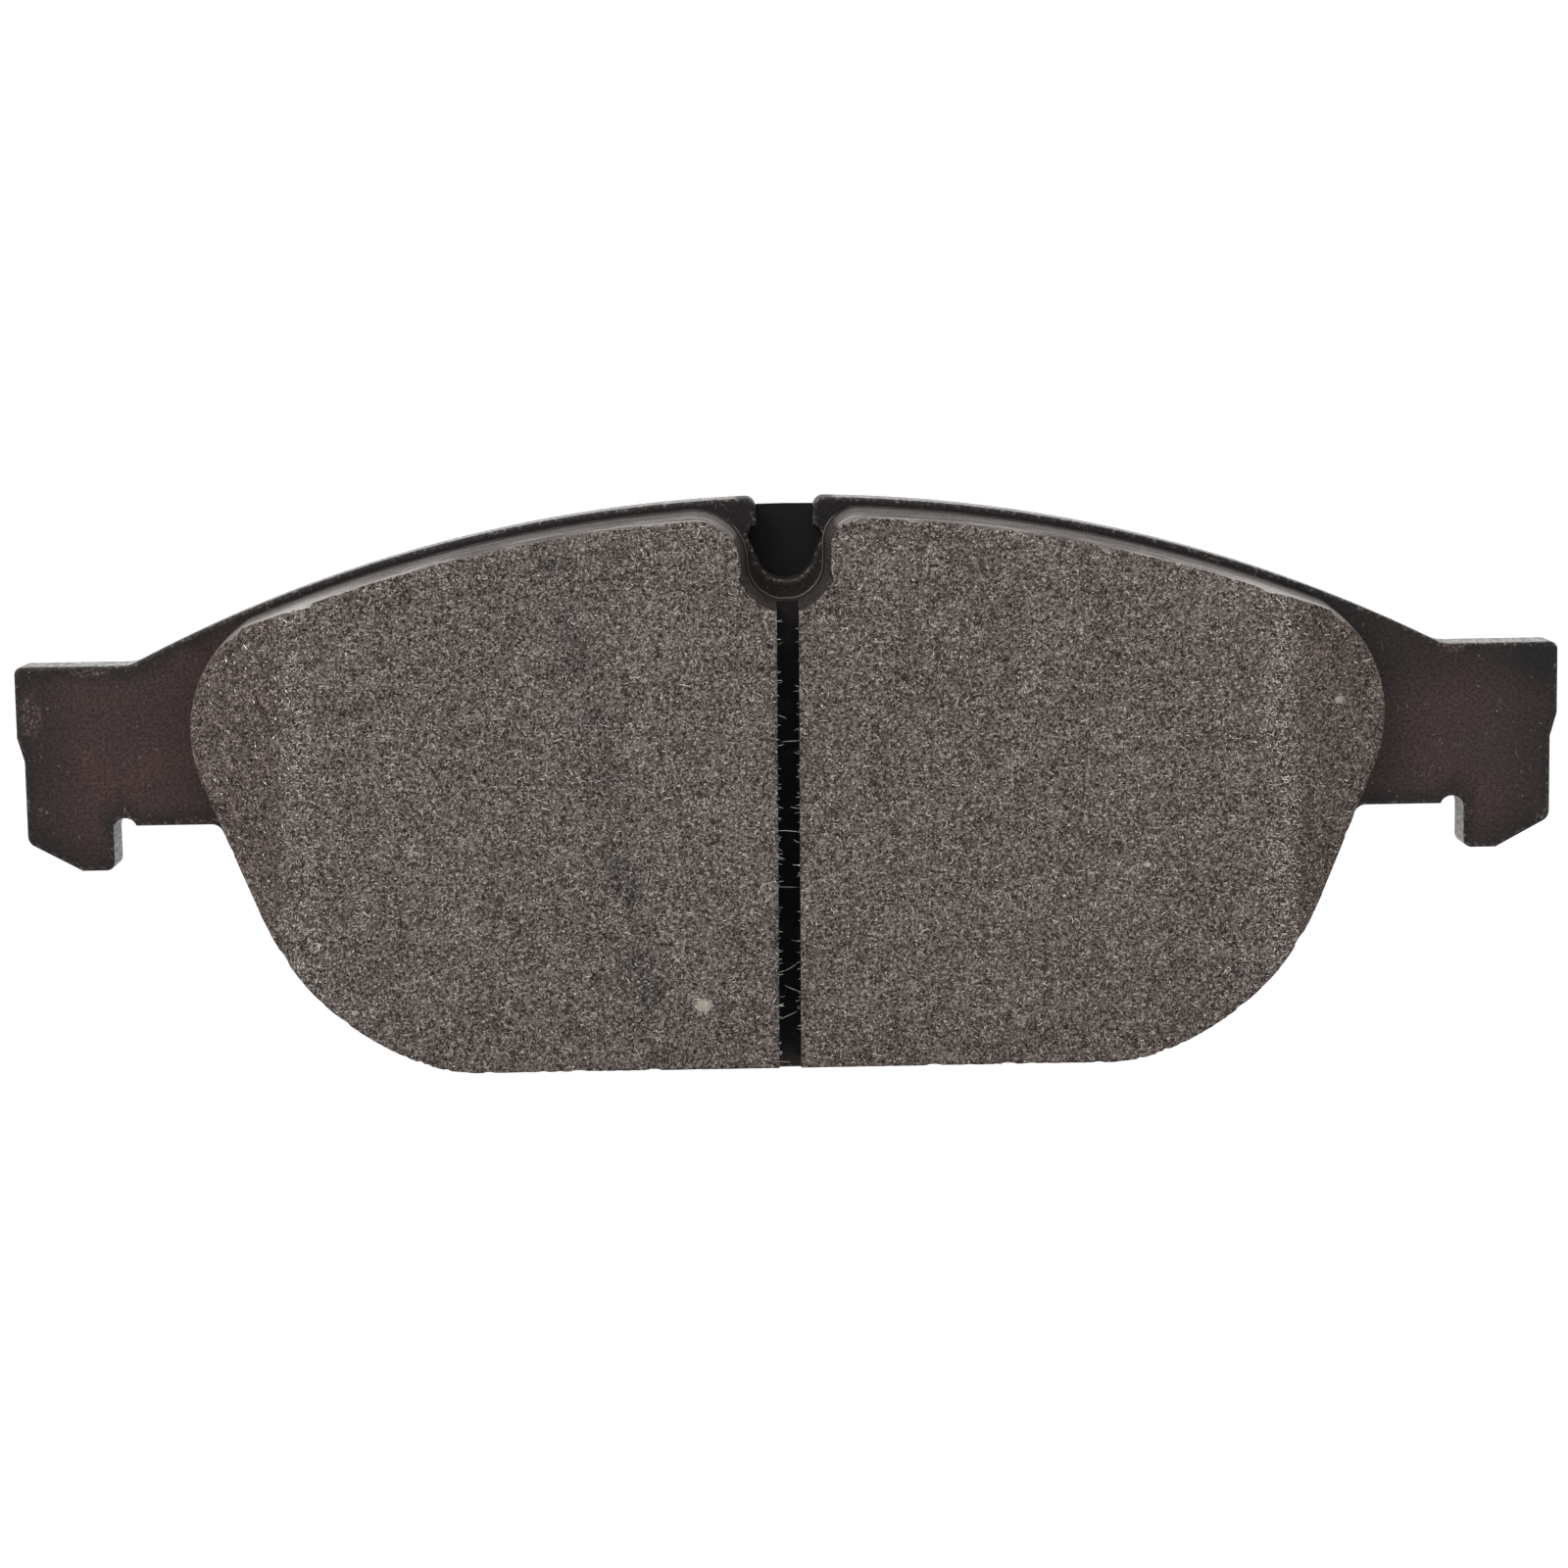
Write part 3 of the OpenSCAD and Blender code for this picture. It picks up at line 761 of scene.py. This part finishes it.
def film():
    """The glue film, with the hair line that is pressed out round the lining's foot."""
    out = DRAFT / 2 + 0.1
    n = round(SLOT_LENGTH / 0.9)
    right, left = block_ring(1, out, -SLOT_W / 2, 0.9)[:-n], block_ring(-1, out, -SLOT_W / 2, 0.9)[:-n]
    ring = np.vstack([right, (left * (-1, 1))[:0:-1]])
    bead = np.clip(8.5 - np.linalg.norm(ring - (0, NOTCH_Y), axis=1), 0, 1)[:, None]
    ring = inward(ring, 0.1) * (1 - bead) + ring * bead
    points, count = [], len(ring)
    for z, by in ((0, 0.0), (FILM_T * 0.6, 0.01), (FILM_T, 0.06)):
        points += [(x, y, PLATE_FACE + z) for x, y in inward(ring, by)]
    faces = band(0, count, count) + band(count, 2 * count, count)
    faces += [face[::-1] for face in filled([ring])]
    faces += [tuple(i + 2 * count for i in face) for face in filled([inward(ring, 0.06)])]
    piece = mesh_piece("glue_film", points, faces, bonding_film())
    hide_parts("bond_film")


film()


# ---------------------------------------------------------------- steel fibres
# Chopped steel wool in the friction mix. Ends stand out of the face, of the ground
# bevels and of both walls of the slot, where the saw pulled them free.

def bright_wire():
    p = Paint("bright_wire")
    mm = p.millimetres()
    tint = p.clouds(mm, 1.2, 2.0)
    colour = p.mix(tint, (0.78, 0.74, 0.68), (0.95, 0.93, 0.89))
    return p.finish(colour, 0.3 + tint * 0.2, Metallic=0.7)


def wire(points, faces, start, heading, length, radius, bend, rise, steps=4):
    """A three-sided tube that curls in the plane of the face and rises or sinks evenly."""
    x, y, z = start
    first = len(points)
    for i in range(steps + 1):
        t = i / steps
        r = radius * (0.45 + 0.55 * math.sin(math.pi * min(1, 0.12 + t * 0.8)))
        side_x, side_y = -math.sin(heading), math.cos(heading)
        for a in (0.5, 2.6, 4.7):
            points.append((x + side_x * r * math.cos(a), y + side_y * r * math.cos(a),
                           z + r * math.sin(a)))
        heading += bend / steps
        x += math.cos(heading) * length / steps
        y += math.sin(heading) * length / steps
        z += rise / steps
    for i in range(steps):
        faces.extend(band(first + i * 3, first + i * 3 + 3, 3))
    faces.append((first + 2, first + 1, first))
    faces.append((first + steps * 3, first + steps * 3 + 1, first + steps * 3 + 2))


def steel_fibres():
    rnd = random.Random(42)
    points, faces = [], []
    ceiling = PLATE_FACE + LINING_T
    for face in (left_face, right_face):
        for x, y, z in rnd.sample(face, min(len(face), 1700)):
            on_ridge = abs(abs(x) - BEVEL_X) < 1.6
            r = rnd.uniform(0.02, 0.042) * (1.2 if on_ridge else 1)
            z = min(z + 0.01, ceiling - 2 * r)
            tilt = rnd.gauss(0, 0.6)
            slope = 0 if abs(x) < BEVEL_X + 0.5 else -BEVEL * math.cos(tilt) * math.copysign(1, x)
            length = min(1.5, rnd.lognormvariate(-1.05, 0.5))
            wire(points, faces, (x, y, z), tilt, length, r, rnd.gauss(0, 1.2), slope * length)
        edge_x = [(x, y, z) for x, y, z in face if BEVEL_X - 2.2 < abs(x) < BEVEL_X + 2.2]
        for x, y, z in rnd.sample(edge_x, min(len(edge_x), 420)):
            r = rnd.uniform(0.022, 0.042)
            wire(points, faces, (x, y, min(z + 0.01, ceiling - 2 * r)), rnd.gauss(0, 0.8),
                 rnd.uniform(0.15, 0.55), r, rnd.gauss(0, 1), 0)
    for _ in range(130):
        y = rnd.uniform(3, 58)
        side = rnd.choice((-1, 1))
        wall = SLOT_X + SLOT_LEAN * (y - SLOT_MIDDLE_Y) + side * SLOT_W / 2
        long = rnd.random() < 0.05
        length = rnd.uniform(2.2, 2.6) if long else min(1.5, rnd.lognormvariate(-0.95, 0.5))
        heading = (math.pi if side > 0 else 0) + rnd.gauss(0, 0.13)
        z = ceiling - 0.12 - abs(rnd.gauss(0, 1.1))
        wire(points, faces, (wall + side * 0.12, y, z), heading, length + 0.12,
             rnd.uniform(0.011, 0.024), rnd.gauss(0, 0.35), rnd.uniform(-0.3, 0.05))
    points = [(x, y, min(z, ceiling - 0.005)) for x, y, z in points]
    piece = mesh_piece("steel_fibres", points, faces, bright_wire(), 90)


steel_fibres()


# ---------------------------------------------------------------- bench, light and camera
# A pale bench lit from within like a light table, under wide soft lamps. The pad lies on
# its shim and the camera looks down on the lining, tipped a little towards its lower edge.

def bench():
    mesh = bpy.data.meshes.new("bench")
    mesh.from_pydata([(-3, -3, 0), (3, -3, 0), (3, 3, 0), (-3, 3, 0)], [], [(0, 1, 2, 3)])
    p = Paint("bench")
    mm = p.millimetres()
    cloudy = p.clouds(mm, 0.02, 2.0)
    colour = p.mix(cloudy, (0.2, 0.2, 0.2), (0.22, 0.22, 0.22))
    mesh.materials.append(p.finish(colour, 0.9 + cloudy * 0.05, Emission_Color=(1, 1, 1),
                                   Emission_Strength=1.0))
    floor = bpy.data.objects.new("bench", mesh)
    floor.location.z = -0.00005
    bpy.context.scene.collection.objects.link(floor)


def lamp(name, place, aim, size, power):
    light = bpy.data.lights.new(name, "AREA")
    light.shape, light.size, light.energy = "SQUARE", size, power
    thing = bpy.data.objects.new(name, light)
    thing.location = place
    thing.rotation_mode = "QUATERNION"
    thing.rotation_quaternion = (Vector(aim) - Vector(place)).to_track_quat("-Z", "Y")
    bpy.context.scene.collection.objects.link(thing)


def light_and_camera():
    scene = bpy.context.scene
    scene.view_settings.view_transform = "Standard"
    world = bpy.data.worlds.new("studio")
    world.use_nodes = True
    world.node_tree.nodes["Background"].inputs["Color"].default_value = (1, 1, 1, 1)
    world.node_tree.nodes["Background"].inputs["Strength"].default_value = 0.62
    scene.world = world
    lamp("key", (-0.5, 0.55, 0.75), (0, 0, 0), 0.5, 5.0)
    lamp("rim", (0, 0.9, 0.16), (0, 0, 0.01), 0.5, 4.5)
    lamp("fill", (0.6, -0.3, 0.8), (0, 0, 0), 0.6, 1.5)
    lens = bpy.data.cameras.new("camera")
    lens.lens, lens.sensor_width = 83.46, 36
    lens.clip_start, lens.clip_end = 0.01, 10
    camera = bpy.data.objects.new("camera", lens)
    camera.location = (-0.00317, 0.05948, 0.45898)
    aim = Vector((-0.000597, 0.00015, 0.0069))
    look = (aim - camera.location).normalized()
    across = look.cross(Vector((0, 1, 0))).normalized()
    up = across.cross(look)
    roll = math.radians(-0.944)
    across, up = (across * math.cos(roll) + up * math.sin(roll),
                  up * math.cos(roll) - across * math.sin(roll))
    turn = Matrix((across, up, -look)).transposed()
    camera.rotation_mode = "QUATERNION"
    camera.rotation_quaternion = turn.to_quaternion()
    scene.collection.objects.link(camera)
    scene.camera = camera


bench()
light_and_camera()
